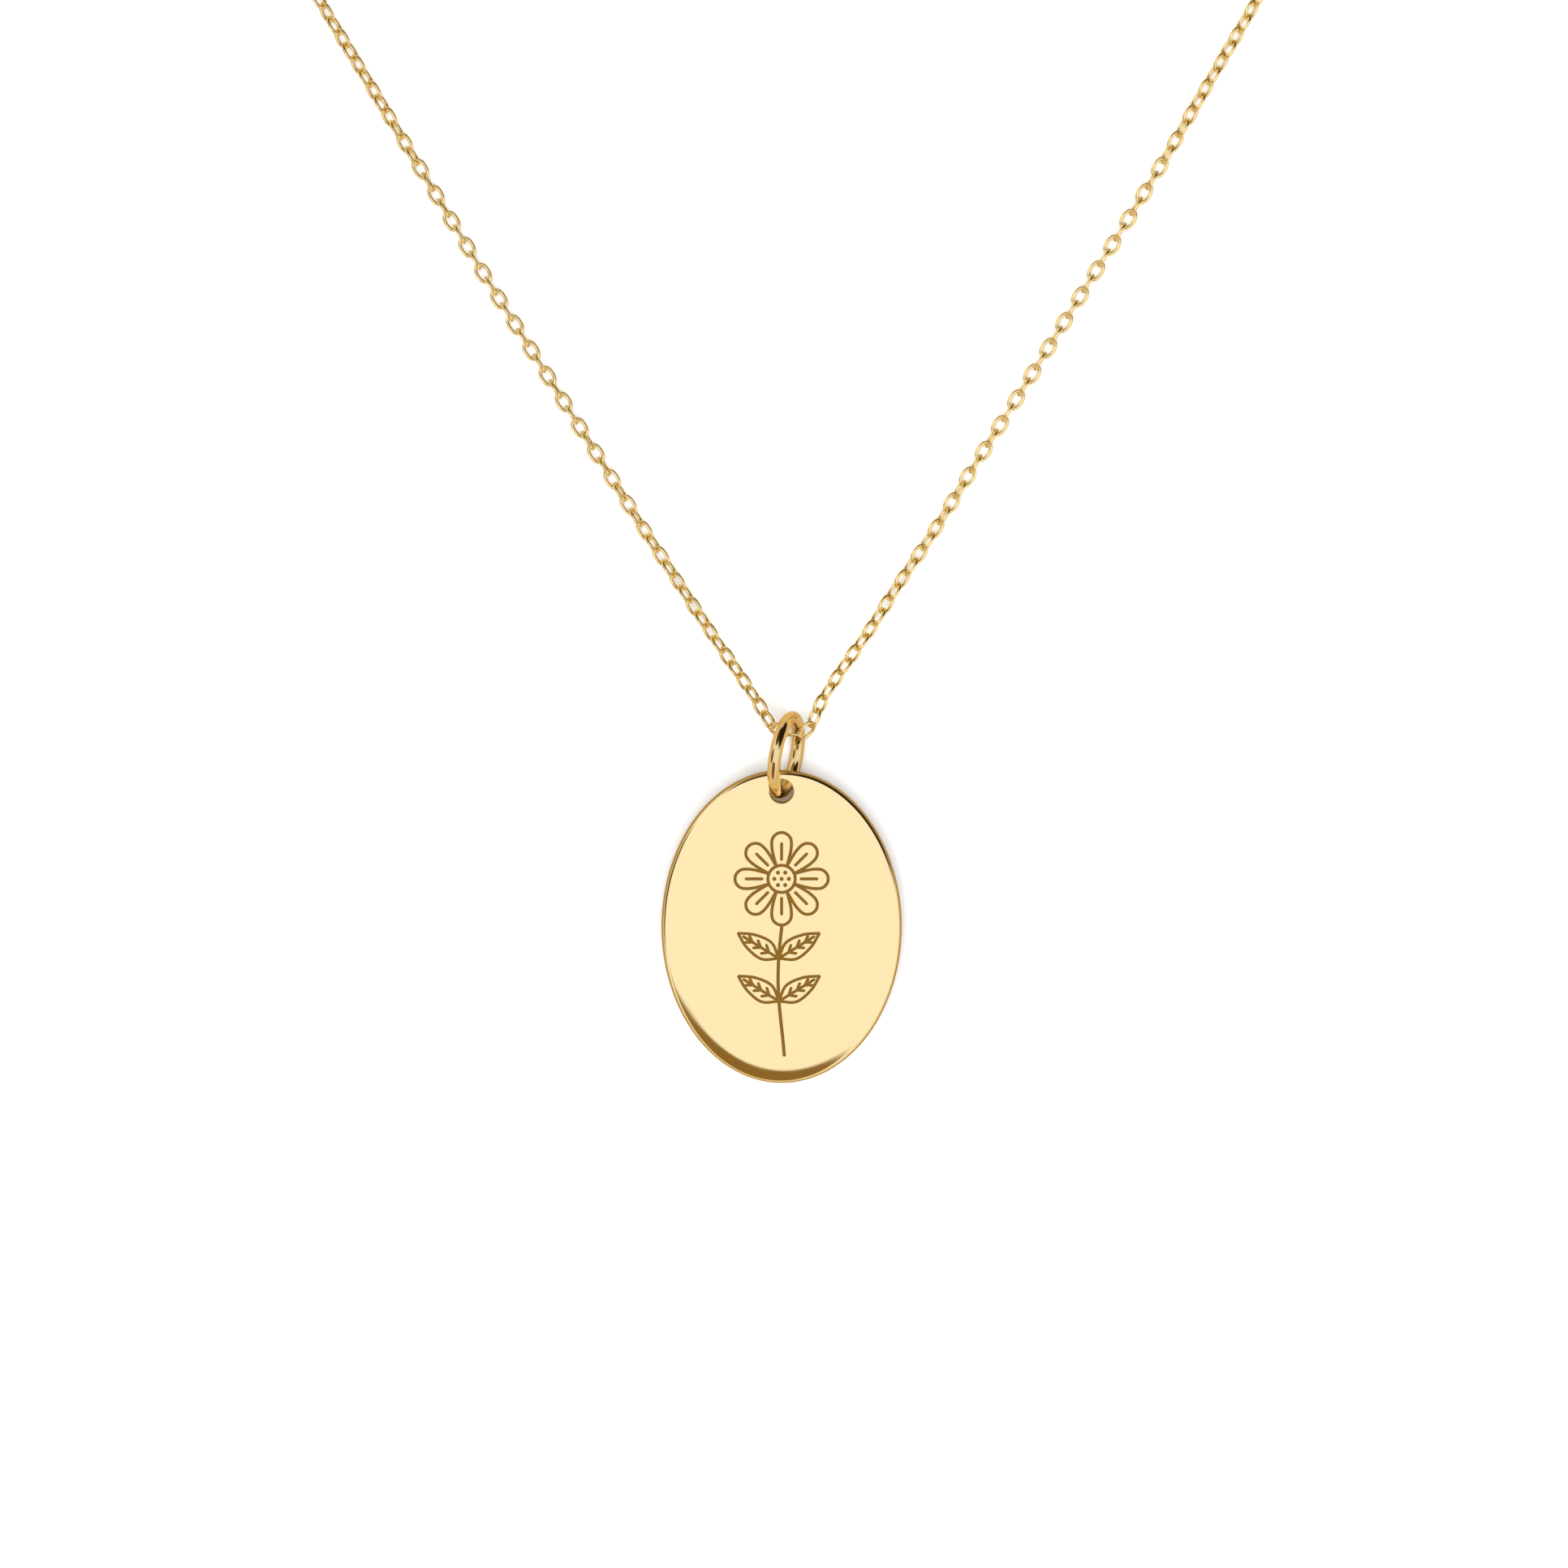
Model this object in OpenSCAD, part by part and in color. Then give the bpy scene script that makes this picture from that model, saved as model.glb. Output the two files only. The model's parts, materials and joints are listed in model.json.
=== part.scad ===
// Oval disc pendant on a fine cable chain, laid out on a flat surface.
// Millimetres. +X is to the pendant's right, +Y runs up it towards the chain,
// +Z is up from the surface at z = 0. The origin is on the surface, under the
// middle of the disc and its ring. The chain runs through the ring, up both
// sides, and its spare length lies in a flat coil with the clasp in the middle.

/* [Disc] */
// Width of the oval disc
disc_w = 15; // [13:0.1:17]
// Height of the oval disc
disc_h = 19.7; // [18:0.1:21]
// Thickness of the disc
disc_t = 1; // [0.8:0.05:1.1]
// Rounding of the disc's rim
rim_r = 0.3; // [0.1:0.05:0.35]
// Diameter of the hole for the ring
hole_d = 1.5; // [1.45:0.01:1.6]
// Metal left between the hole and the rim
hole_web = 0.52; // [0.4:0.02:0.7]

/* [Jump ring] */
// Wire of the ring
ring_wire = 0.8; // [0.7:0.02:0.82]
// Radius of the ring at the middle of its wire
ring_r = 2.35; // [2.3:0.01:2.4]
// How far the ring leans to the right, in degrees
ring_lean = 10.5; // [8:0.5:12]
// How far the ring turns about its long way, in degrees
ring_twist = 16; // [12:0.5:18]

/* [Chain] */
// Width of a chain link
link_w = 0.96; // [0.9:0.01:1]
// Length of a chain link
link_l = 1.39; // [1.35:0.01:1.45]
// Wire of a chain link
link_wire = 0.22; // [0.2:0.01:0.24]
// Diameter of the room that the chain takes up
chain_d = 1.1; // [1:0.02:1.2]
// Distance between two runs of chain in the coil
run_gap = 1.25; // [1.2:0.01:1.3]

/* [Clasp] */
// Radius of the spring ring at the middle of its tube
clasp_r = 2.25; // [2.2:0.01:2.3]
// Outer diameter of its tube
tube_d = 1.5; // [1.46:0.01:1.54]
// Wall of its tube
tube_wall = 0.3; // [0.25:0.01:0.32]
// Running clearance round the bolt
bolt_gap = 0.03; // [0.02:0.005:0.04]
// Half of the mouth's opening, in degrees
mouth = 30; // [26:1:32]
// How far the bolt slides back, in degrees
bolt_travel = 60; // [50:1:60]

/* [Hidden] */
$fn = 64;
gold = [0.93, 0.76, 0.42];
oval_sides = 72;

// The ring stands on the surface and holds up the disc's top end.
ring_at = [0.28, 8.91, ring_r * cos(ring_twist) + ring_wire / 2];
hole_y = disc_h / 2 - hole_web - hole_d / 2;
ring_drop = 0.2;      // how far below the ring's mid-height its wire goes through the hole
ring_slack = 0.1;     // how far the ring's wire lies below the middle of the hole
disc_tilt = asin((ring_at.z - ring_drop - disc_t / 2) / (disc_h / 2 + hole_y));
disc_y = ring_at.y - ring_r * cos(ring_lean) + ring_slack - hole_y * cos(disc_tilt);
disc_z = disc_h / 2 * sin(disc_tilt) + disc_t / 2 * cos(disc_tilt);

// The ring's own directions: along its lean, and up its turned side.
ring_up = [sin(ring_lean), cos(ring_lean), 0];
ring_side = [-sin(ring_twist) * cos(ring_lean), sin(ring_twist) * sin(ring_lean), cos(ring_twist)];

// The middle link hangs inside the ring's top end.
hang_r = 1.4;         // from the ring's centre to the chain's
hang_a = 20;          // how far round from the ring's top the chain lies
link_at = ring_at + hang_r * (cos(hang_a) * ring_up - sin(hang_a) * ring_side);

// Each side of the chain, from the middle link to the coil.
route_left = [
    [0.2, 10.2, 2.2], [-0.65, 10.75, 2.15], [-1.3, 11.9, 2], [-2.55, 13.8, 1.7], [-4.45, 16.6, 1.2],
    [-6.4, 19.6, 0.8], [-8.35, 22.6, 0.6], [-11, 26.8, 0.55], [-14.45, 32.3, 0.55], [-18.4, 38.6, 0.55],
    [-22.2, 44.9, 0.55], [-25.85, 51, 0.55], [-28.9, 56.1, 0.55], [-30.8, 59.5, 0.55], [-31.2, 62.6, 0.55],
    [-29.8, 65.4, 0.55], [-26.8, 67.2, 0.55], [-22, 68, 0.55], [-15, 68.5, 0.55], [-7.5, 68.7, 0.55],
    [0, 68.7, 0.55]
];
route_right = [
    [1.25, 10.1, 2.35], [1.85, 10.75, 2.5], [2.4, 12.1, 2.3], [3.6, 14, 1.9], [5.55, 16.8, 1.3],
    [7.45, 19.8, 0.8], [9.4, 22.7, 0.6], [12, 26.9, 0.55], [15.4, 32.3, 0.55], [19.3, 38.6, 0.55],
    [23.2, 44.9, 0.55], [26.75, 51, 0.55], [29.7, 56.1, 0.55], [31.2, 59.2, 0.55], [31.2, 62.4, 0.55],
    [29.4, 65.2, 0.55], [26.4, 67.2, 0.55], [22.8, 68.9, 0.55], [19, 70.8, 0.55], [15.6, 73.4, 0.55],
    [13.2, 76.4, 0.55], [12, 80, 0.55]
];

// The coil: the two sides lie next to each other and wind inwards together.
coil_at = [0, 80, 0];
coil_run_in = 5.7;    // innermost run
coil_runs = 5;        // steps from the innermost run to the outermost
coil_r = coil_run_in + coil_runs * run_gap;
coil_in = 4.6;        // inner wall, where both ends tuck in to the clasp

// The clasp lies across the coil, on the chain's rings at its two ends.
clasp_turn = 20;
clasp_z = 1;
clasp_off = 0.8;      // puts the clasp and its rings, taken together, in the middle
bore_r = tube_d / 2 - tube_wall;
bolt_r = bore_r - bolt_gap;
bolt_tip = -mouth - 10;
bolt_tail = 110;
tab_a = 60;
tab_d = 0.4;
slot_w = 0.5;
slot_spare = 7;       // degrees of slot past the tab at each end of its travel
stop_a = 230;
stop_span = 8;
spring_turns = 12;
spring_wire = 0.12;
spring_r = 0.3;
eye_wire = 0.4;
eye_r = 0.65;
eye_x = -(clasp_r + tube_d / 2 + eye_r - 0.1);
clasp_link_r = 1;
clasp_link_wire = 0.4;
end_ring_r = 1.4;
end_ring_wire = 0.5;

function unit(v) = v / norm(v);
function heading(p, i) = unit(p[min(i + 1, len(p) - 1)] - p[max(i - 1, 0)]);
function hoop(c, d, side, r, n) =
    let (s = unit(cross(d, side)), t = cross(s, d))
    [for (k = [0:n - 1]) c + r * (cos(360 * k / n) * s + sin(360 * k / n) * t)];

// A tube of n sides along the points p. sides has a direction for each point
// that the tube never runs along.
module tube(p, r, n, sides) {
    last = len(p) - 1;
    points = [for (i = [0:last]) each hoop(p[i], heading(p, i), sides[i], r, n)];
    walls = [
        for (i = [0:last - 1]) for (k = [0:n - 1])
            let (a = i * n + k, b = i * n + (k + 1) % n)
            each [[a, b, b + n], [a, b + n, a + n]]
    ];
    ends = [[for (k = [n - 1:-1:0]) k], [for (k = [0:n - 1]) last * n + k]];
    polyhedron(points, concat(walls, ends));
}

// A ring of round wire about Z, all round or over part of a turn.
module wire_ring(r, wire, from = 0, span = 360) {
    rotate([0, 0, from])
        rotate_extrude(angle = span)
            translate([r, 0]) circle(d = wire);
}

// The disc's outline, drawn in by inset all round.
module oval(inset) {
    a = disc_w / 2 - inset;
    b = disc_h / 2 - inset;
    polygon([for (i = [0:oval_sides - 1]) let (t = 360 * i / oval_sides) [a * cos(t), b * sin(t)]]);
}

module pendant_disc() {
    color(gold)
        translate([0, disc_y, disc_z])
            rotate([disc_tilt, 0, 0])
                difference() {
                    hull()
                        for (t = [0, 30, 60, 90]) {
                            half = disc_t / 2 - rim_r * (1 - sin(t));
                            translate([0, 0, -half])
                                linear_extrude(2 * half) oval(rim_r * (1 - cos(t)));
                        }
                    translate([0, hole_y, -disc_t])
                        cylinder(d = hole_d, h = 2 * disc_t);
                }
}

module jump_ring() {
    color(gold)
        translate(ring_at)
            rotate([0, 0, -ring_lean])
                rotate([0, 90 - ring_twist, 0])
                    wire_ring(ring_r, ring_wire);
}

// One link, lying along X with its flat side across Z.
module centre_link() {
    bend_r = (link_w - link_wire) / 2;
    straight = link_l - link_w;
    color(gold)
        translate(link_at)
            rotate([90, 0, 0]) {
                for (end = [-1, 1])
                    translate([end * straight / 2, 0, 0])
                        wire_ring(bend_r, link_wire, -90 * end, 180);
                for (side = [-1, 1])
                    translate([-straight / 2, side * bend_r, 0])
                        rotate([0, 90, 0]) cylinder(d = link_wire, h = straight);
            }
}

module chain_side(route) {
    color(gold)
        tube(route, chain_d / 2, 8, [for (p = route) [0, 0, 1]]);
}

module chain_left() {
    chain_side(route_left);
}

module chain_right() {
    chain_side(route_right);
}

module chain_coil() {
    color(gold)
        translate(coil_at)
            rotate_extrude()
                translate([coil_in, 0])
                    square([coil_r + chain_d / 2 - coil_in, chain_d]);
}

// Puts the clasp's own frame in its place: centre of its ring, eye towards -X.
module at_clasp() {
    translate(coil_at)
        rotate([0, 0, clasp_turn])
            translate([clasp_off, 0, clasp_z]) children();
}

module clasp_case() {
    slot_from = tab_a - slot_spare;
    slot_span = bolt_travel + 2 * slot_spare;
    color(gold)
        at_clasp()
            difference() {
                rotate([0, 0, mouth])
                    rotate_extrude(angle = 360 - 2 * mouth)
                        translate([clasp_r, 0])
                            difference() {
                                circle(d = tube_d);
                                circle(r = bore_r);
                            }
                rotate([0, 0, slot_from])
                    rotate_extrude(angle = slot_span)
                        translate([clasp_r + bore_r / 2, -slot_w / 2])
                            square([tube_d, slot_w]);
            }
}

module clasp_bolt() {
    color(gold)
        at_clasp()
            wire_ring(clasp_r, 2 * bolt_r, bolt_tip, bolt_tail - bolt_tip);
}

module thumb_tab() {
    root_x = clasp_r + bolt_r / 2;
    head_x = clasp_r + tube_d / 2 + 0.4;
    color(gold)
        at_clasp()
            rotate([0, 0, tab_a]) {
                translate([root_x, 0, 0])
                    rotate([0, 90, 0]) cylinder(d = tab_d, h = head_x - root_x);
                translate([head_x, 0, 0]) sphere(d = 0.7);
            }
}

module clasp_spring() {
    steps = 10;
    count = spring_turns * steps;
    span = stop_a - bolt_tail - 2;
    around = [for (i = [0:count]) bolt_tail + 1 + span * i / count];
    path = [
        for (i = [0:count])
            let (a = around[i], t = 360 * i / steps, r = clasp_r + spring_r * cos(t))
            [r * cos(a), r * sin(a), spring_r * sin(t)]
    ];
    color("silver")
        at_clasp()
            tube(path, spring_wire / 2, 6, [for (a = around) [-sin(a), cos(a), 0]]);
}

module spring_stop() {
    color(gold)
        at_clasp()
            wire_ring(clasp_r, 2 * bore_r, stop_a, stop_span);
}

module clasp_eye() {
    color(gold)
        at_clasp()
            translate([eye_x, 0, 0]) wire_ring(eye_r, eye_wire);
}

// A ring that stands on the surface along the clasp's line.
module standing_ring(x, r, wire) {
    color(gold)
        translate(coil_at)
            rotate([0, 0, clasp_turn])
                translate([x, 0, r + wire / 2])
                    rotate([90, 0, 0]) wire_ring(r, wire);
}

module clasp_link() {
    drop = clasp_link_r + clasp_link_wire / 2 - clasp_z;
    reach = sqrt(clasp_link_r * clasp_link_r - drop * drop);
    standing_ring(clasp_off + eye_x - reach, clasp_link_r, clasp_link_wire);
}

module end_ring() {
    standing_ring(clasp_off + clasp_r + 0.2, end_ring_r, end_ring_wire);
}

pendant_disc();
jump_ring();
centre_link();
chain_left();
chain_right();
chain_coil();
end_ring();
clasp_link();
clasp_eye();
clasp_case();
clasp_bolt();
thumb_tab();
clasp_spring();
spring_stop();
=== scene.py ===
"""Oval disc pendant on a cable chain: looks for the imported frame, in metres."""
import cmath
import json
import math

import bpy
from mathutils import Matrix, Vector
from mathutils.geometry import delaunay_2d_cdt


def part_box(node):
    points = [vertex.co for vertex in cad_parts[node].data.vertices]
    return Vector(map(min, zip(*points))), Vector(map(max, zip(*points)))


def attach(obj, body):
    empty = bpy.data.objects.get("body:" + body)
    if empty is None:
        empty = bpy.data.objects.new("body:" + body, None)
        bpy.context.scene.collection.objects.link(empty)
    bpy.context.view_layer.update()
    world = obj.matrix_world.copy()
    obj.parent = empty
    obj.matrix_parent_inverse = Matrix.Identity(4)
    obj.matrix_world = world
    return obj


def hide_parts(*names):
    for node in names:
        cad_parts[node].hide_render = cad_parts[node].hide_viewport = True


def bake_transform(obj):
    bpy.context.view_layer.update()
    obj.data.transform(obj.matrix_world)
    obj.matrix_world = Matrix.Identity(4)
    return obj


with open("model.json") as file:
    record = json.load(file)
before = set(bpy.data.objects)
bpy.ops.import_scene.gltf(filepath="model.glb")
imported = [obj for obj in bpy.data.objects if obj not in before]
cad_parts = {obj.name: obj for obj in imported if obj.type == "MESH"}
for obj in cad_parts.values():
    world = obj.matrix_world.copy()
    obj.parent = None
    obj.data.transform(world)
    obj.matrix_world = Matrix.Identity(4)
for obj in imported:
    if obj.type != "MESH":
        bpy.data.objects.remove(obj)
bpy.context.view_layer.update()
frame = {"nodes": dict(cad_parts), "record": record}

MM = 0.001
scene = bpy.context.scene
joints = {j["name"]: j for j in frame["record"]["behaviour"]["joints"]}


# ---------------------------------------------------------------- camera

VIEW_WIDTH = 98.07 * MM      # how much of the surface the picture spans
VIEW_CENTRE = Vector((0.15, 7.1, 1.0)) * MM
LENS_MM, SENSOR_MM = 100, 36
CLIP = (0.01, 20)


def make_camera():
    """Looks straight down, with +Y up the picture."""
    data = bpy.data.cameras.new("camera")
    data.lens = LENS_MM
    data.sensor_width = SENSOR_MM
    data.clip_start, data.clip_end = CLIP
    camera = bpy.data.objects.new("camera", data)
    height = VIEW_WIDTH * LENS_MM / SENSOR_MM
    camera.location = VIEW_CENTRE + Vector((0, 0, height))
    scene.collection.objects.link(camera)
    scene.camera = camera


make_camera()


# ---------------------------------------------------------------- helpers

def new_piece(name, verts, faces, body, replaced):
    """A mesh from points in metres that rides on a body, if one is given, and replaces CAD nodes."""
    mesh = bpy.data.meshes.new(name)
    mesh.from_pydata([tuple(v) for v in verts], [], faces)
    mesh.validate()
    mesh.shade_smooth()
    mesh.update()
    piece = bpy.data.objects.new(name, mesh)
    scene.collection.objects.link(piece)
    if body:
        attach(piece, body)
    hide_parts(*replaced)
    return piece


def through(points, step):
    """A Catmull-Rom curve through points, with a point about every step."""
    points = [Vector(p) for p in points]
    ends = [2 * points[0] - points[1], *points, 2 * points[-1] - points[-2]]
    line = []
    for a, b, c, d in zip(ends, ends[1:], ends[2:], ends[3:]):
        count = max(1, round((c - b).length / step))
        for i in range(count):
            t = i / count
            line.append(
                0.5 * (2 * b + (c - a) * t + (2 * a - 5 * b + 4 * c - d) * t * t
                       + (3 * b - a - 3 * c + d) * t ** 3)
            )
    line.append(points[-1])
    return line


class Line:
    """A polyline that can be asked for the point at a distance along it."""

    def __init__(self, points):
        self.points = points
        self.marks = [0.0]
        for a, b in zip(points, points[1:]):
            self.marks.append(self.marks[-1] + (b - a).length)
        self.length = self.marks[-1]
        self.at_mark = 0

    def at(self, s):
        """The point at a distance, found quickly when it lies near the one asked for before."""
        s = min(max(s, 0.0), self.length)
        while self.at_mark and self.marks[self.at_mark] > s:
            self.at_mark -= 1
        while self.marks[self.at_mark + 1] < s:
            self.at_mark += 1
        i = self.at_mark
        span = self.marks[i + 1] - self.marks[i]
        return self.points[i].lerp(self.points[i + 1], (s - self.marks[i]) / span)


# ---------------------------------------------------------------- chain

LINK_W, LINK_L, LINK_WIRE = 0.96 * MM, 1.39 * MM, 0.22 * MM
LINK_SQUARENESS = 2.35               # 2 would make an ellipse of it
LINK_STEPS, LINK_SIDES = 28, 10
PITCH = LINK_L - 2 * LINK_WIRE
LEAN_BY_RING, RING_LINKS, RING_FADE = 38, 19, 3      # in degrees, up to which link, and how softly it ends
LEAN_HIGH_UP, HIGH_LINKS, HIGH_FADE = 42, 45, 2      # in degrees, from which link, and how softly it starts
WOBBLE, WOBBLE_STEP = 4, 1.7         # small twists on top, in degrees and radians a link
COIL_AT = Vector((0, 80, 0.55)) * MM
COIL_R, COIL_GAP = 5.7 * MM, 1.25 * MM       # the innermost turn, and from one turn to the next
POINTS_A_TURN = 24
ROUTE_STEP = 0.2 * MM
CENTRE_LINK = Vector(joints["ring_swing"]["pos_m"])
UP = Vector((0, 0, 1))

# Each side's route from the middle link to the coil, in millimetres.
ROUTE_LEFT = [
    (0.2, 10.2, 2.2), (-0.65, 10.75, 2.15), (-1.3, 11.9, 2), (-2.55, 13.8, 1.7), (-4.45, 16.6, 1.2),
    (-6.4, 19.6, 0.8), (-8.35, 22.6, 0.6), (-11, 26.8, 0.55), (-14.45, 32.3, 0.55), (-18.4, 38.6, 0.55),
    (-22.2, 44.9, 0.55), (-25.85, 51, 0.55), (-28.9, 56.1, 0.55), (-30.8, 59.5, 0.55), (-31.2, 62.6, 0.55),
    (-29.8, 65.4, 0.55), (-26.8, 67.2, 0.55), (-22, 68, 0.55), (-15, 68.5, 0.55), (-7.5, 68.7, 0.55),
    (0, 68.7, 0.55),
]
ROUTE_RIGHT = [
    (1.25, 10.1, 2.35), (1.85, 10.75, 2.5), (2.4, 12.1, 2.3), (3.6, 14, 1.9), (5.55, 16.8, 1.3),
    (7.45, 19.8, 0.8), (9.4, 22.7, 0.6), (12, 26.9, 0.55), (15.4, 32.3, 0.55), (19.3, 38.6, 0.55),
    (23.2, 44.9, 0.55), (26.75, 51, 0.55), (29.7, 56.1, 0.55), (31.2, 59.2, 0.55), (31.2, 62.4, 0.55),
    (29.4, 65.2, 0.55), (26.4, 67.2, 0.55), (22.8, 68.9, 0.55), (19, 70.8, 0.55), (15.6, 73.4, 0.55),
    (13.2, 76.4, 0.55), (12, 80, 0.55),
]


def coil_points(start, end, tuck):
    """A side's turns, wound in from one angle to another in degrees, and the tucked end."""
    step = 360 / POINTS_A_TURN
    count = round((end - start) / step)
    points = []
    for i in range(1, count + 1):
        angle = start + i * step
        r = COIL_R + 2 * COIL_GAP * (end - angle) / 360
        a = math.radians(angle)
        points.append(COIL_AT + Vector((math.cos(a), math.sin(a), 0)) * r)
    for turn, r, z in tuck:
        a = math.radians(end + turn)
        points.append(COIL_AT + Vector((math.cos(a) * r, math.sin(a) * r, z)))
    return points


def lean_of(i):
    """How far link number i is twisted, in degrees: half open by the ring and high up, edge-on between."""
    by_ring = LEAN_BY_RING / (1 + math.exp((i - RING_LINKS) / RING_FADE))
    high_up = LEAN_HIGH_UP / (1 + math.exp((HIGH_LINKS - i) / HIGH_FADE))
    return by_ring + high_up + WOBBLE * math.sin(WOBBLE_STEP * i)


def link_frames(route, twist):
    """Where each link of one side lies: its centre, its direction and its roll."""
    line = Line(through(route, ROUTE_STEP))
    count = int((line.length + 0.5 * PITCH) / PITCH)
    pitch = line.length / count
    meetings = [line.at(i * pitch) for i in range(count + 1)]
    frames = []
    for i in range(count):
        a, b = meetings[i], meetings[i + 1]
        roll = 90 * (i % 2) + twist * lean_of(i)
        frames.append(((a + b) / 2, (b - a).normalized(), math.radians(roll)))
    return frames


def add_closed_tube(verts, faces, rows, sides):
    """Joins the rows of points added last into a tube that closes on itself."""
    first = len(verts) - rows * sides
    for i in range(rows):
        for k in range(sides):
            a, b = first + i * sides, first + (i + 1) % rows * sides
            n = (k + 1) % sides
            faces.append((a + k, a + n, b + n, b + k))


def add_link(verts, faces, centre, along, roll):
    """One oval link of round wire, lying along a direction and rolled about it."""
    side = along.cross(UP).normalized()
    top = side.cross(along)
    across = side * math.cos(roll) + top * math.sin(roll)
    normal = across.cross(along)
    long_r = (LINK_L - LINK_WIRE) / 2
    wide_r = (LINK_W - LINK_WIRE) / 2
    wire_r = LINK_WIRE / 2
    power = 2 / LINK_SQUARENESS
    middle = []
    for i in range(LINK_STEPS):
        t = 2 * math.pi * i / LINK_STEPS
        c, s = math.cos(t), math.sin(t)
        x = math.copysign(abs(c) ** power, c) * long_r
        y = math.copysign(abs(s) ** power, s) * wide_r
        middle.append(centre + along * x + across * y)
    for i in range(LINK_STEPS):
        forward = (middle[(i + 1) % LINK_STEPS] - middle[i - 1]).normalized()
        out = forward.cross(normal)
        for k in range(LINK_SIDES):
            a = 2 * math.pi * k / LINK_SIDES
            verts.append(middle[i] + (out * math.cos(a) + normal * math.sin(a)) * wire_r)
    add_closed_tube(verts, faces, LINK_STEPS, LINK_SIDES)


def make_side(name, route, start, end, tuck, twist, nodes):
    """One side of the chain, link by link, and the line that it follows."""
    path = [Vector(p) * MM for p in route] + coil_points(start, end, tuck)
    verts, faces = [], []
    for centre, along, roll in link_frames(path, twist):
        add_link(verts, faces, centre, along, roll)
    piece = new_piece(name, verts, faces, "chain", nodes)
    return piece, path


def make_centre_link():
    verts, faces = [], []
    add_link(verts, faces, CENTRE_LINK, Vector((1, 0, 0)), math.radians(90))
    return new_piece("middle_link", verts, faces, "chain", ["centre_link"])


# Each side's last points, past the coil's end: degrees on from it, radius, and rise from the coil.
TUCK_LEFT = [(12, 5.5 * MM, 0.1 * MM), (22, 5.05 * MM, 0.4 * MM)]
TUCK_RIGHT = [(12, 5.5 * MM, 0.1 * MM), (22, 5.0 * MM, 0.4 * MM)]
left, left_path = make_side(
    "chain_side_left", ROUTE_LEFT, start=-90, end=720, tuck=TUCK_LEFT, twist=1, nodes=["chain_left"],
)
right, right_path = make_side(
    "chain_side_right", ROUTE_RIGHT, start=0, end=900, tuck=TUCK_RIGHT, twist=-1,
    nodes=["chain_right", "chain_coil"],
)
centre_link = make_centre_link()


# ---------------------------------------------------------------- engraving

# A plain daisy with paired leaves. Its points are complex numbers, in millimetres from the disc's middle.
# The shapes of petals and leaves are points along and across, as shares of their length and width.
PETAL_SIDE = [(0, 0.12), (0.35, 0.62), (0.65, 0.95), (0.86, 0.92), (0.97, 0.5)]
CREASE = [(0.42, 0), (0.6, 0), (0.76, 0)]
FLOWER_AT = 3.1j
PETALS, PETAL_L, PETAL_W = 8, 2.9, 1.25
HEART_R, HEART_STEPS = 0.85, 24
SEEDS, SEEDS_R = 6, 0.45
FLOWER_WIDTH, STEM_WIDTH, LEAF_WIDTH = 0.19, 0.21, 0.18      # of the lines
SEED_D = 1.35 * FLOWER_WIDTH
STEM_TOP, STEM_FOOT = 1, -8
STEM_BOW, STEM_WAVE = 0.22, 0.5
LEAF_SIDE = [(0, 0), (0.3, 0.48), (0.68, 0.38), (1, 0)]
MIDRIB = [(0, 0), (0.45, 0), (0.86, 0)]
LEAF_HEIGHTS = [-1.9, -4.6]
LEAF_L, LEAF_W, LEAF_RISE = 3, 1.25, 32
VEINS, VEINS_FROM, VEINS_SPAN = 3, 0.24, 0.4
VEIN_RUN, VEIN_REACH, VEIN_SHRINK = 0.12, 0.24, 0.12
LINE_STEP, STEM_STEP = 0.08, 0.15


def smooth(points, step=LINE_STEP):
    return [complex(p.x, p.y) for p in through([(p.real, p.imag, 0) for p in points], step)]


def polar(length, angle):
    return cmath.rect(length, math.radians(angle))


def placed(shape, base, along, width):
    """A shape's points, along and across a petal or a leaf, as points of the drawing."""
    across = along / abs(along) * 1j * width
    return [base + t * along + s * across for t, s in shape]


def petal(angle):
    """A petal's outline, open at its foot, and the crease along it."""
    outline = PETAL_SIDE + [(1, 0)] + [(t, -s) for t, s in reversed(PETAL_SIDE)]
    along = polar(PETAL_L, angle)
    return [smooth(placed(shape, FLOWER_AT, along, PETAL_W / 2)) for shape in (outline, CREASE)]


def inside(p, outline):
    """Whether a point lies in a closed shape."""
    found = False
    for a, b in zip(outline, outline[1:] + outline[:1]):
        if (a.imag > p.imag) != (b.imag > p.imag):
            if p.real < a.real + (b.real - a.real) * (p.imag - a.imag) / (b.imag - a.imag):
                found = not found
    return found


def hide_behind(lines, outline):
    """What is left of the lines once a closed shape lies in front of them."""
    left = []
    for line in lines:
        run = []
        for p in line:
            if not inside(p, outline):
                run.append(p)
            elif run:
                left.append(run)
                run = []
        left.append(run)
    return [run for run in left if len(run) > 2]


def flower():
    """The outlines of the petals, every line of the flower head, and the seeds in its heart."""
    angles = [360 * i / HEART_STEPS for i in range(HEART_STEPS + 1)]
    heart = smooth([FLOWER_AT + polar(HEART_R, angle) for angle in angles])
    petals = [petal(90 + 360 * i / PETALS) for i in range(PETALS)]
    outlines = [outline for outline, _ in petals]
    creases = [crease for _, crease in petals]
    lines = hide_behind(outlines + creases, heart) + [heart]
    seeds = [FLOWER_AT] + [FLOWER_AT + polar(SEEDS_R, 360 * i / SEEDS) for i in range(SEEDS)]
    return outlines, lines, seeds


def stem_at(y):
    return complex(STEM_BOW * math.sin(STEM_WAVE * y), y)


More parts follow.
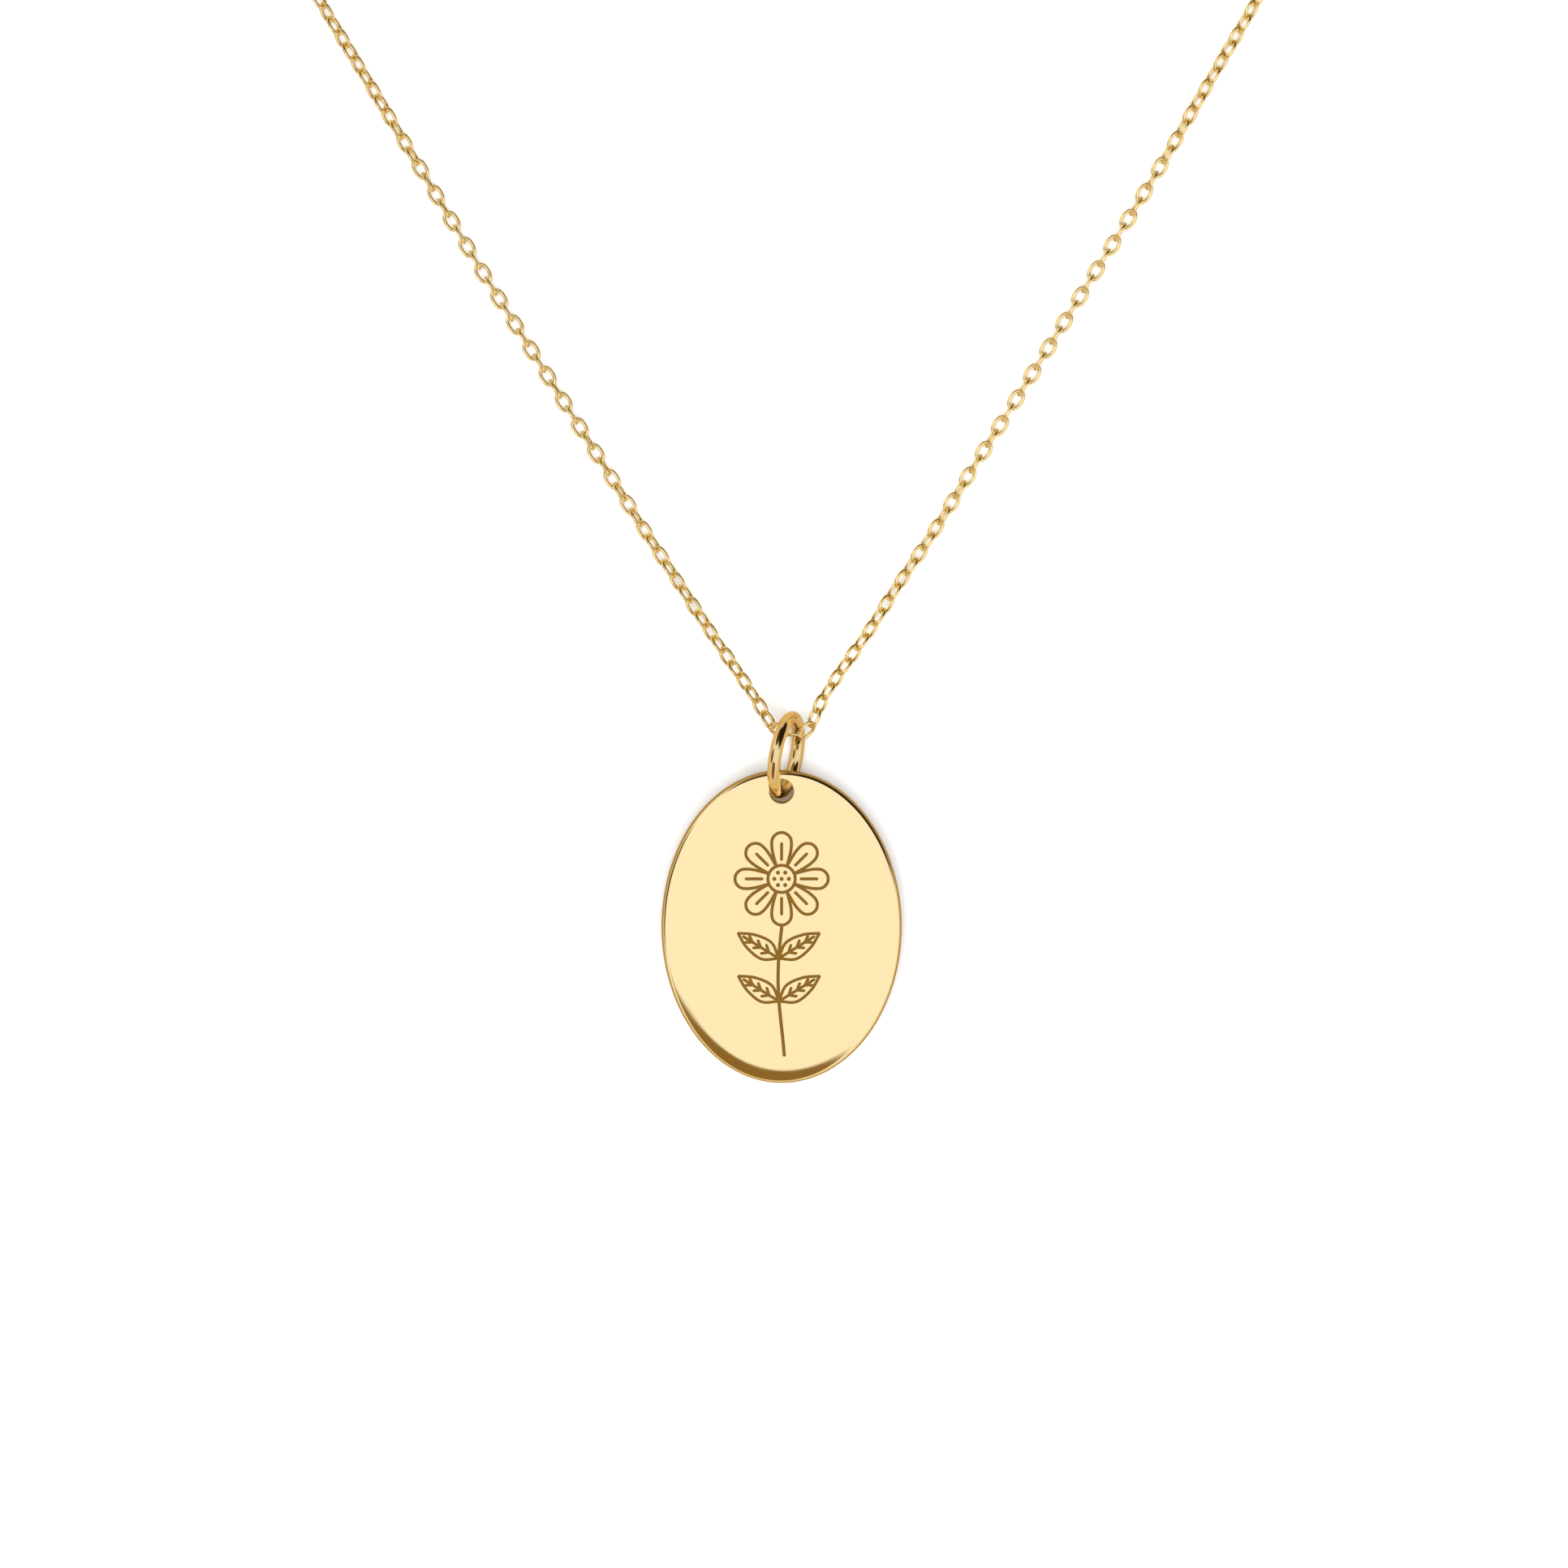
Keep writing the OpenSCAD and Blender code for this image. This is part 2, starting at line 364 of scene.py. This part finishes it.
def leaf(base, along):
    """The lines of a leaf: its closed outline, the midrib and the side veins in pairs."""
    upper = placed(LEAF_SIDE, base, along, LEAF_W)
    lower = placed(reversed(LEAF_SIDE), base, along, -LEAF_W)
    lines = [smooth(upper) + smooth(lower), smooth(placed(MIDRIB, base, along, LEAF_W))]
    for i in range(VEINS):
        foot = VEINS_FROM + VEINS_SPAN * i / (VEINS - 1)
        reach = VEIN_REACH * (1 - VEIN_SHRINK * i)
        for side in (reach, -reach):
            lines.append(smooth(placed([(foot, 0), (foot + VEIN_RUN, side)], base, along, LEAF_W)))
    return lines


def engraving():
    """Every engraved line as (points, width), and the middles of the seeds."""
    outlines, lines, seeds = flower()
    strokes = [(line, FLOWER_WIDTH) for line in lines]
    stems = [smooth([stem_at(y) for y in range(STEM_TOP, STEM_FOOT - 1, -1)], STEM_STEP)]
    for outline in outlines:
        stems = hide_behind(stems, outline)
    strokes += [(line, STEM_WIDTH) for line in stems]
    for y in LEAF_HEIGHTS:
        for rise in (LEAF_RISE, 180 - LEAF_RISE):
            strokes += [(line, LEAF_WIDTH) for line in leaf(stem_at(y), polar(LEAF_L, rise))]
    return strokes, seeds


# ---------------------------------------------------------------- disc

# In millimetres from its middle, with the face up.
HALF_W, HALF_H, HALF_T = 7.5, 9.85, 0.5
HOLE_Y, HOLE_R, HOLE_EASE = 8.58, 0.75, 0.04
HOLE_STEPS = 64
RIM = 0.3                            # where the rounded rim begins
RIM_EASE, RIM_BULGE = 0.16, 0.24     # how softly it leaves the face and comes to its widest
RIM_STEPS, FACE_GOLD_STEPS = 12, 5    # rows of its faces, and how many of them take the face's gold; the rest take the darker edge gold, a painted shade
BACK_STEPS = 8
CROWN, CROWN_DROP = 1.4, 0.09        # where the face starts to fall away, and how far it falls to the rim
FACE_ROWS = (0.4, 0.55, 0.75, 1.0, 1.2, CROWN)       # insets of the rows of points that follow the fall
GROOVE = 0.06                        # depth of the engraved lines
STROKE_END_STEPS, SEED_STEPS = 10, 16
WELD = 1e-5                          # points closer than this become one
DISC_TILT = math.radians(6.1)
AROUND = 240
DISC_GOLD_SLOT, ENGRAVED_SLOT, SHADED_EDGE_SLOT = 0, 1, 2


def disc_place():
    """From the disc's own millimetres, once scaled, to its place in the frame."""
    low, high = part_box("pendant_disc")
    return Matrix.Translation((low + high) / 2) @ Matrix.Rotation(DISC_TILT, 4, "X")


def inset_at(x, y):
    """How far a point lies inside the disc's outline, nearly."""
    rho = math.hypot(x / HALF_W, y / HALF_H)
    if rho < 0.5:
        return HALF_W
    return (1 - rho) * rho / math.hypot(x / HALF_W ** 2, y / HALF_H ** 2)


def outward_at(x, y):
    way = Vector((x / HALF_W ** 2, y / HALF_H ** 2, 0))
    return way.normalized() if way.length else way


def fall_at(x, y):
    """How far out a point lies on the part of the face that falls away, from 0 to 1."""
    return max(0.0, (CROWN - inset_at(x, y)) / (CROWN - RIM))


def face_height(x, y):
    return HALF_T - CROWN_DROP * fall_at(x, y) ** 2


def face_normal(x, y):
    slope = 2 * CROWN_DROP * fall_at(x, y) / (CROWN - RIM)
    return (outward_at(x, y) * slope + UP).normalized()


def rim_profile():
    """The rim from the face's edge to its widest, as (inset, height, outward, up)."""
    edge = HALF_T - CROWN_DROP
    slope = 2 * CROWN_DROP / (CROWN - RIM)
    a, b = Vector((RIM, edge)), Vector((RIM - RIM_EASE, edge - RIM_EASE * slope))
    c, d = Vector((0, RIM_BULGE)), Vector((0, 0))
    profile = []
    for i in range(RIM_STEPS + 1):
        t = i / RIM_STEPS
        p = a * (1 - t) ** 3 + 3 * b * t * (1 - t) ** 2 + 3 * c * t * t * (1 - t) + d * t ** 3
        way = 3 * ((b - a) * (1 - t) ** 2 + 2 * (c - b) * t * (1 - t) + (d - c) * t * t)
        normal = Vector((-way.y, -way.x)).normalized()
        profile.append((p.x, p.y, normal.x, normal.y))
    return profile


def oval(inset):
    """Points all round, moved in from the outline."""
    points = []
    for i in range(AROUND):
        t = 2 * math.pi * i / AROUND
        x, y = HALF_W * math.cos(t), HALF_H * math.sin(t)
        points.append(Vector((x, y, 0)) - outward_at(x, y) * inset)
    return points


class Sheet:
    """Collects a flat drawing's points, edges and closed faces for triangulation."""

    def __init__(self):
        self.points, self.edges, self.faces = [], [], []

    def loop(self, points):
        first = len(self.points)
        self.points += [Vector(p[:2]) for p in points]
        return list(range(first, len(self.points)))

    def face(self, points):
        """A closed face. Gives its number."""
        self.faces.append(self.loop(points))
        return len(self.faces) - 1

    def guide(self, points):
        """A closed line that triangles keep to."""
        loop = self.loop(points)
        self.edges += list(zip(loop, loop[1:] + loop[:1]))

    def circle(self, at, radius, count):
        spots = [at + cmath.rect(radius, 2 * math.pi * i / count) for i in range(count)]
        return self.face([(p.real, p.imag) for p in spots])

    def stroke(self, line, width):
        """A line of some width, as one small face for each step and a round face at each end."""
        sides = []
        for i, p in enumerate(line):
            way = line[min(i + 1, len(line) - 1)] - line[max(i - 1, 0)]
            way *= 1j * width / 2 / max(abs(way), 1e-9)
            sides.append((p + way, p - way))
        first = len(self.points)
        self.points += [Vector((p.real, p.imag)) for pair in sides for p in pair]
        for i in range(len(line) - 1):
            k = first + 2 * i
            self.faces.append([k + 1, k + 3, k + 2, k])
        for end in (line[0], line[-1]):
            self.circle(end, width / 2, STROKE_END_STEPS)

    def triangles(self):
        """The points, the triangles, and the numbers of the faces that each triangle lies in."""
        points, _, triangles, _, _, origins = delaunay_2d_cdt(self.points, self.edges, self.faces, 0, WELD)
        return points, triangles, origins


def start_sheet():
    """A sheet with the disc's outline and its hole, and their face numbers."""
    sheet = Sheet()
    outer = sheet.face(oval(RIM))
    hole = sheet.circle(HOLE_Y * 1j, HOLE_R + HOLE_EASE, HOLE_STEPS)
    return sheet, outer, hole


def triangulate_face():
    """The disc's face as triangles, and which of them lie in an engraved line."""
    sheet, outer, hole = start_sheet()
    for inset in FACE_ROWS:
        sheet.guide(oval(inset))
    strokes, seeds = engraving()
    for line, width in strokes:
        sheet.stroke(line, width)
    for seed in seeds:
        sheet.circle(seed, SEED_D / 2, SEED_STEPS)
    points, triangles, origins = sheet.triangles()
    kept = [(t, o) for t, o in zip(triangles, origins) if outer in o and hole not in o]
    cut = [any(k not in (outer, hole) for k in o) for _, o in kept]
    return points, [t for t, _ in kept], cut


class Shell:
    """Collects points, faces, each face's corner normals and its material."""

    def __init__(self):
        self.points, self.faces, self.normals, self.slots = [], [], [], []

    def point(self, p):
        self.points.append(Vector(p))
        return len(self.points) - 1

    def face(self, corners, normals, slot=DISC_GOLD_SLOT):
        self.faces.append(tuple(corners))
        self.normals += [tuple(n) for n in normals]
        self.slots.append(slot)

    def band(self, upper, lower, upper_normals, lower_normals, slot=DISC_GOLD_SLOT):
        """Faces between two closed rows of points, the first above or outside the second."""
        count = len(upper)
        for i in range(count):
            k = (i + 1) % count
            corners = (upper[i], lower[i], lower[k], upper[k])
            normals = (upper_normals[i], lower_normals[i], lower_normals[k], upper_normals[k])
            self.face(corners, normals, slot)


def add_face_and_grooves(shell):
    """The face, and under each engraved line a floor, with walls along its edges."""
    points, triangles, cut = triangulate_face()
    top = [shell.point((p.x, p.y, face_height(p.x, p.y))) for p in points]
    floor = {}
    normals = [face_normal(p.x, p.y) for p in points]
    for triangle, is_cut in zip(triangles, cut):
        if is_cut:
            for k in triangle:
                if k not in floor:
                    p = points[k]
                    floor[k] = shell.point((p.x, p.y, face_height(p.x, p.y) - GROOVE))
            shell.face([floor[k] for k in triangle], [normals[k] for k in triangle], ENGRAVED_SLOT)
        else:
            shell.face([top[k] for k in triangle], [normals[k] for k in triangle])
    sides = {}
    for triangle, is_cut in zip(triangles, cut):
        for a, b in zip(triangle, triangle[1:] + triangle[:1]):
            sides[a, b] = is_cut
    for (a, b), is_cut in sides.items():
        if is_cut and not sides.get((b, a), True):
            way = (points[b] - points[a]).normalized()
            normal = Vector((-way.y, way.x, 0))
            shell.face((top[a], top[b], floor[b], floor[a]), [normal] * 4, ENGRAVED_SLOT)


def add_rim_and_back(shell):
    def row(inset, z, out, up):
        ring = oval(inset)
        ways = [outward_at(p.x, p.y) for p in oval(0)]
        return (
            [shell.point((p.x, p.y, z)) for p in ring],
            [(w * out + UP * up).normalized() for w in ways],
        )

    rows = [row(*spot) for spot in rim_profile()]
    for i in range(BACK_STEPS + 1):
        a = math.radians(90 * i / BACK_STEPS)
        out, up = math.cos(a), -math.sin(a)
        rows.append(row(RIM * (1 - out), -HALF_T + RIM * (1 + up), out, up))
    # Rows past the first few take the darker edge gold: painted shade on the rim's outer side.
    for i, ((upper, un), (lower, ln)) in enumerate(zip(rows, rows[1:])):
        shell.band(upper, lower, un, ln, DISC_GOLD_SLOT if i < FACE_GOLD_STEPS else SHADED_EDGE_SLOT)
    back, outer, hole = start_sheet()
    points, triangles, origins = back.triangles()
    low = [shell.point((p.x, p.y, -HALF_T)) for p in points]
    for triangle, o in zip(triangles, origins):
        if outer in o and hole not in o:
            shell.face([low[k] for k in reversed(triangle)], [(0, 0, -1)] * 3)


def add_hole(shell):
    """The hole's wall, with an eased edge at the face and at the back."""
    def row(radius, height, out, up):
        points, ways = [], []
        for i in range(HOLE_STEPS):
            way = cmath.rect(1, 2 * math.pi * i / HOLE_STEPS)
            p = HOLE_Y * 1j + way * radius
            points.append(shell.point((p.real, p.imag, height(p))))
            ways.append((Vector((-way.real, -way.imag, 0)) * out + UP * up).normalized())
        return points, ways

    def face(p):
        return face_height(p.real, p.imag)

    rows = [
        row(HOLE_R + HOLE_EASE, face, 0.35, 1),
        row(HOLE_R + 0.3 * HOLE_EASE, lambda p: face(p) - 0.3 * HOLE_EASE, 1, 1),
        row(HOLE_R, lambda p: face(p) - HOLE_EASE, 1, 0.2),
        row(HOLE_R, lambda p: -HALF_T + HOLE_EASE, 1, -0.2),
        row(HOLE_R + HOLE_EASE, lambda p: -HALF_T, 0.4, -1),
    ]
    for (upper, un), (lower, ln) in zip(rows, rows[1:]):
        shell.band(lower, upper, ln, un)


def make_disc():
    shell = Shell()
    add_face_and_grooves(shell)
    add_rim_and_back(shell)
    add_hole(shell)
    place = disc_place()
    turn = place.to_3x3()
    points = [place @ (p * MM) for p in shell.points]
    disc = new_piece("engraved_disc", points, shell.faces, "pendant", ["pendant_disc"])
    disc.data.polygons.foreach_set("material_index", shell.slots)
    disc.data.normals_split_custom_set([turn @ Vector(n) for n in shell.normals])
    return disc


disc = make_disc()


# ---------------------------------------------------------------- jump ring

RING_R, RING_WIRE = 2.35 * MM, 0.8 * MM
SEAM_AT, SEAM = 205, 0.012 * MM      # where its ends meet, in degrees, and how deep the joint shows
RING_STEPS, RING_SIDES = 200, 40


def make_ring():
    """A ring of round wire, closed with a fine butt joint."""
    centre = Vector(joints["disc_swing"]["pos_m"])
    axis = Vector(joints["disc_swing"]["axis"]).normalized()
    up = (Vector((0, 1, 0)) - axis * axis.y).normalized()
    side = axis.cross(up)
    verts, faces = [], []
    for i in range(RING_STEPS):
        t = math.radians(SEAM_AT + 360 * i / RING_STEPS)
        out = up * math.cos(t) + side * math.sin(t)
        r = RING_WIRE / 2 - (0 if i else SEAM)
        for k in range(RING_SIDES):
            a = 2 * math.pi * k / RING_SIDES
            verts.append(centre + out * (RING_R + r * math.cos(a)) + axis * (r * math.sin(a)))
    add_closed_tube(verts, faces, RING_STEPS, RING_SIDES)
    return new_piece("round_ring", verts, faces, "ring", ["jump_ring"])


ring = make_ring()


# ---------------------------------------------------------------- clasp spring

CLASP_R, CLASP_TURN = 2.25 * MM, 20      # the middle line of the clasp's tube, and how the clasp lies
SPRING_FROM, SPRING_TO = 111, 229        # from the bolt's tail to the stop, in degrees round the tube
SPRING_TURNS, SPRING_R, SPRING_WIRE = 12, 0.3 * MM, 0.12 * MM
SPRING_STEPS, SPRING_SIDES = 16, 8


def make_spring():
    """A coil spring in the clasp's tube, from the bolt's tail to the stop."""
    centre = Vector(joints["bolt_slide"]["pos_m"])
    count, sides = SPRING_TURNS * SPRING_STEPS, SPRING_SIDES

    def tube_ways(share):
        """Outward and onward at a share of the spring's length."""
        a = math.radians(CLASP_TURN + SPRING_FROM + (SPRING_TO - SPRING_FROM) * share)
        return Vector((math.cos(a), math.sin(a), 0)), Vector((-math.sin(a), math.cos(a), 0))

    def wire_at(i):
        out, _ = tube_ways(i / count)
        t = 2 * math.pi * i / SPRING_STEPS
        return centre + out * (CLASP_R + SPRING_R * math.cos(t)) + UP * SPRING_R * math.sin(t)

    verts, faces = [], []
    for i in range(count + 1):
        forward = (wire_at(i + 1) - wire_at(i - 1)).normalized()
        across = forward.cross(tube_ways(i / count)[1]).normalized()
        other = forward.cross(across)
        for k in range(sides):
            a = 2 * math.pi * k / sides
            verts.append(wire_at(i) + (across * math.cos(a) + other * math.sin(a)) * SPRING_WIRE / 2)
    for i in range(count):
        for k in range(sides):
            a, b, n = i * sides, (i + 1) * sides, (k + 1) % sides
            faces.append((a + k, a + n, b + n, b + k))
    faces.append(tuple(reversed(range(sides))))
    faces.append(tuple(range(count * sides, (count + 1) * sides)))
    spring = new_piece("coil_spring", verts, faces, None, ["clasp_spring"])
    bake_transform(spring)
    return spring


spring = make_spring()


# ---------------------------------------------------------------- lengths of the chain's paths

def length_of(path):
    return Line(through(path, ROUTE_STEP)).length


round(length_of(left_path), 3)
round(length_of(right_path), 3)


# ---------------------------------------------------------------- materials

GOLD = (1.0, 0.83, 0.48)
SHADED_EDGE_GOLD = (0.5, 0.36, 0.17)        # the rim's outer side, darker: painted shade
# The ring's gold is darker and warmer than the disc's: painted shade.
RING_GOLD = (0.86, 0.675, 0.365)
CHAIN_GOLD = (1.0, 0.835, 0.45)
ENGRAVED = (0.18, 0.088, 0.01)
STEEL = (0.62, 0.6, 0.57)
SMEAR_SCALE, SMEAR_DETAIL = 400, 4
SMEAR_FROM, SMEAR_TO = 0.35, 0.7         # the noise that makes the least and the most of a smear
SMOOTHEST, ROUGHEST = 0.7, 1.5           # shares of the metal's roughness
SMEAR_TINT = (1, 0.97, 0.92)
LINES_SCALE, LINES_ANGLE, LINES_DETAIL = (900, 30000, 9000), math.radians(35), 2
LINES_DEPTH = 0.002 * MM
GRAIN_SCALE, GRAIN_DETAIL, GRAIN_BUMP, GRAIN_DEPTH = 9000, 3, 0.4, 0.01 * MM
GRAIN_DARK, GRAIN_LIGHT = 0.8, 1.25      # shares of the engraved colour


def start_material(name):
    material = bpy.data.materials.new(name)
    material.use_nodes = True
    nodes, links = material.node_tree.nodes, material.node_tree.links
    return material, nodes, links, nodes["Principled BSDF"]


def add_noise(nodes, links, vector, scale, detail):
    noise = nodes.new("ShaderNodeTexNoise")
    noise.inputs["Scale"].default_value = scale
    noise.inputs["Detail"].default_value = detail
    links.new(vector, noise.inputs["Vector"])
    return noise.outputs["Fac"]


def add_tone(nodes, links, factor, first, second, shader):
    """Gives a shader the mix of two colours."""
    tone = nodes.new("ShaderNodeMix")
    tone.data_type = "RGBA"
    tone.inputs["A"].default_value = (*first, 1)
    tone.inputs["B"].default_value = (*second, 1)
    links.new(factor, tone.inputs["Factor"])
    links.new(tone.outputs["Result"], shader.inputs["Base Color"])


def add_bump(nodes, links, height, strength, depth, shader):
    bump = nodes.new("ShaderNodeBump")
    bump.inputs["Strength"].default_value = strength
    bump.inputs["Distance"].default_value = depth
    links.new(height, bump.inputs["Height"])
    links.new(bump.outputs["Normal"], shader.inputs["Normal"])


def metal(name, colour, roughness, scratches):
    """Polished metal with faint smears and fine polishing lines."""
    material, nodes, links, shader = start_material(name)
    shader.inputs["Metallic"].default_value = 1
    coords = nodes.new("ShaderNodeTexCoord")
    smears = add_noise(nodes, links, coords.outputs["Object"], SMEAR_SCALE, SMEAR_DETAIL)
    rough = nodes.new("ShaderNodeMapRange")
    rough.inputs["From Min"].default_value = SMEAR_FROM
    rough.inputs["From Max"].default_value = SMEAR_TO
    rough.inputs["To Min"].default_value = SMOOTHEST * roughness
    rough.inputs["To Max"].default_value = ROUGHEST * roughness
    links.new(smears, rough.inputs["Value"])
    links.new(rough.outputs["Result"], shader.inputs["Roughness"])
    smeared = [c * tint for c, tint in zip(colour, SMEAR_TINT)]
    add_tone(nodes, links, smears, colour, smeared, shader)
    stretch = nodes.new("ShaderNodeMapping")
    stretch.inputs["Scale"].default_value = LINES_SCALE
    stretch.inputs["Rotation"].default_value = (0, 0, LINES_ANGLE)
    links.new(coords.outputs["Object"], stretch.inputs["Vector"])
    lines = add_noise(nodes, links, stretch.outputs["Vector"], 1, LINES_DETAIL)
    add_bump(nodes, links, lines, scratches, LINES_DEPTH, shader)
    return material


def engraved():
    """The laser-darkened floor and walls of the engraved lines."""
    material, nodes, links, shader = start_material("engraved_brown")
    shader.inputs["Roughness"].default_value = 0.65
    shader.inputs["Specular IOR Level"].default_value = 0.2
    coords = nodes.new("ShaderNodeTexCoord")
    grain = add_noise(nodes, links, coords.outputs["Object"], GRAIN_SCALE, GRAIN_DETAIL)
    dark, light = ([share * c for c in ENGRAVED] for share in (GRAIN_DARK, GRAIN_LIGHT))
    add_tone(nodes, links, grain, dark, light, shader)
    add_bump(nodes, links, grain, GRAIN_BUMP, GRAIN_DEPTH, shader)
    return material


def dress(piece, *materials):
    """Gives a piece its materials, in the order of its faces' material numbers."""
    mesh = piece.data
    kept = [0] * len(mesh.polygons)
    mesh.polygons.foreach_get("material_index", kept)
    mesh.materials.clear()
    for material in materials:
        mesh.materials.append(material)
    mesh.polygons.foreach_set("material_index", [min(k, len(materials) - 1) for k in kept])


disc_gold = metal("disc_gold", GOLD, roughness=0.06, scratches=0.12)
# The rim's outer side is a darker gold: painted shade.
shaded_edge_gold = metal("shaded_edge_gold", SHADED_EDGE_GOLD, roughness=0.18, scratches=0.3)
ring_gold = metal("ring_gold", RING_GOLD, roughness=0.045, scratches=0.08)
chain_gold = metal("chain_gold", CHAIN_GOLD, roughness=0.1, scratches=0.1)
clasp_gold = metal("clasp_gold", CHAIN_GOLD, roughness=0.12, scratches=0.15)
spring_steel = metal("spring_steel", STEEL, roughness=0.2, scratches=0.1)
dress(disc, disc_gold, engraved(), shaded_edge_gold)
dress(ring, ring_gold)
for piece in (left, right, centre_link):
    dress(piece, chain_gold)
for node in ("end_ring", "clasp_link", "clasp_eye", "clasp_case", "clasp_bolt", "thumb_tab", "spring_stop"):
    dress(frame["nodes"][node], clasp_gold)
dress(spring, spring_steel)


# ---------------------------------------------------------------- floor and light

PAPER = (0.95, 0.965, 0.985)
PAPER_PAINTED_REFLECTION = (0.58, 0.45, 0.23)      # painted reflection: the paper's colour in glossy rays only, darker and warmer
FLOOR_HALF, FLOOR_GAP = 1.5, 0.02 * MM   # half its width, and how far it lies under the frame's ground
LAMP_AT, LAMP_D, LAMP_POWER = (-0.05, -0.12, 0.8), 0.9, 8


def make_floor():
    """White paper, with a painted reflection: the metal's undersides show it as a darker, warmer ground."""
    mesh = bpy.data.meshes.new("floor")
    size = FLOOR_HALF
    corners = [(-size, -size, 0), (size, -size, 0), (size, size, 0), (-size, size, 0)]
    mesh.from_pydata(corners, [], [(0, 1, 2, 3)])
    floor = bpy.data.objects.new("floor", mesh)
    floor.location.z = -FLOOR_GAP
    scene.collection.objects.link(floor)
    material, nodes, links, shader = start_material("paper")
    # Painted reflection: glossy rays see the paper darker and warmer.
    rays = nodes.new("ShaderNodeLightPath")
    add_tone(nodes, links, rays.outputs["Is Glossy Ray"], PAPER, PAPER_PAINTED_REFLECTION, shader)
    shader.inputs["Roughness"].default_value = 0.9
    shader.inputs["Specular IOR Level"].default_value = 0.1
    mesh.materials.append(material)


CARDS = [
    # What each covers, where its caps of the sky overlap, and its colour.
    # A cap is its middle's azimuth and elevation, its half-angle and its edge's softness, in degrees.
    ([(257.6, 0, 65.5, 2.5), (254, 45, 27, 8)], (0.26, 0.155, 0.045)),
    ([(42, 27, 35, 14)], (0.03, 0.02, 0.012)),
    ([(180, 36, 17, 8)], (0.1, 0.055, 0.015)),
    ([(98, 42, 26, 10)], (0.1, 0.055, 0.018)),
    ([(0, -90, 112, 26)], (0.78, 0.68, 0.45)),       # the warm tint of the low sky
]


def direction(azimuth, elevation):
    a, e = math.radians(azimuth), math.radians(elevation)
    return Vector((math.cos(a) * math.cos(e), math.sin(a) * math.cos(e), math.sin(e)))


def make_world():
    """White all round, with dark cards and a warm low sky that only polished metal shows clearly."""
    world = bpy.data.worlds.new("studio")
    world.use_nodes = True
    nodes, links = world.node_tree.nodes, world.node_tree.links
    nodes.clear()
    coords = nodes.new("ShaderNodeTexCoord")

    def within(toward, half_angle, softness):
        dot = nodes.new("ShaderNodeVectorMath")
        dot.operation = "DOT_PRODUCT"
        dot.inputs[1].default_value = toward
        links.new(coords.outputs["Generated"], dot.inputs[0])
        edge = nodes.new("ShaderNodeMapRange")
        edge.interpolation_type = "SMOOTHSTEP"
        edge.inputs["From Min"].default_value = math.cos(math.radians(half_angle + softness / 2))
        edge.inputs["From Max"].default_value = math.cos(math.radians(max(0, half_angle - softness / 2)))
        links.new(dot.outputs["Value"], edge.inputs["Value"])
        return edge.outputs["Result"]

    light = None
    for caps, colour in CARDS:
        mask = None
        for azimuth, elevation, half_angle, softness in caps:
            cap = within(direction(azimuth, elevation), half_angle, softness)
            if mask:
                both = nodes.new("ShaderNodeMath")
                both.operation = "MULTIPLY"
                links.new(mask, both.inputs[0])
                links.new(cap, both.inputs[1])
                cap = both.outputs["Value"]
            mask = cap
        card = nodes.new("ShaderNodeMix")
        card.data_type = "RGBA"
        card.blend_type = "MULTIPLY"
        card.inputs["A"].default_value = (1, 1, 1, 1)
        card.inputs["B"].default_value = (*colour, 1)
        links.new(mask, card.inputs["Factor"])
        if light:
            links.new(light, card.inputs["A"])
        light = card.outputs["Result"]
    lit = nodes.new("ShaderNodeBackground")
    links.new(light, lit.inputs["Color"])
    plain = nodes.new("ShaderNodeBackground")
    rays = nodes.new("ShaderNodeLightPath")
    mix = nodes.new("ShaderNodeMixShader")
    links.new(rays.outputs["Is Camera Ray"], mix.inputs["Fac"])
    links.new(lit.outputs["Background"], mix.inputs[1])
    links.new(plain.outputs["Background"], mix.inputs[2])
    out = nodes.new("ShaderNodeOutputWorld")
    links.new(mix.outputs["Shader"], out.inputs["Surface"])
    scene.world = world


def make_light():
    """A soft overhead light that polished metal doesn't mirror."""
    data = bpy.data.lights.new("softbox", "AREA")
    data.shape = "DISK"
    data.size = LAMP_D
    data.energy = LAMP_POWER
    lamp = bpy.data.objects.new("softbox", data)
    lamp.location = LAMP_AT
    lamp.rotation_euler = (-Vector(LAMP_AT)).to_track_quat("-Z", "Y").to_euler()
    lamp.visible_glossy = False
    lamp.visible_camera = False
    scene.collection.objects.link(lamp)


make_floor()
make_world()
make_light()
scene.view_settings.view_transform = "Standard"
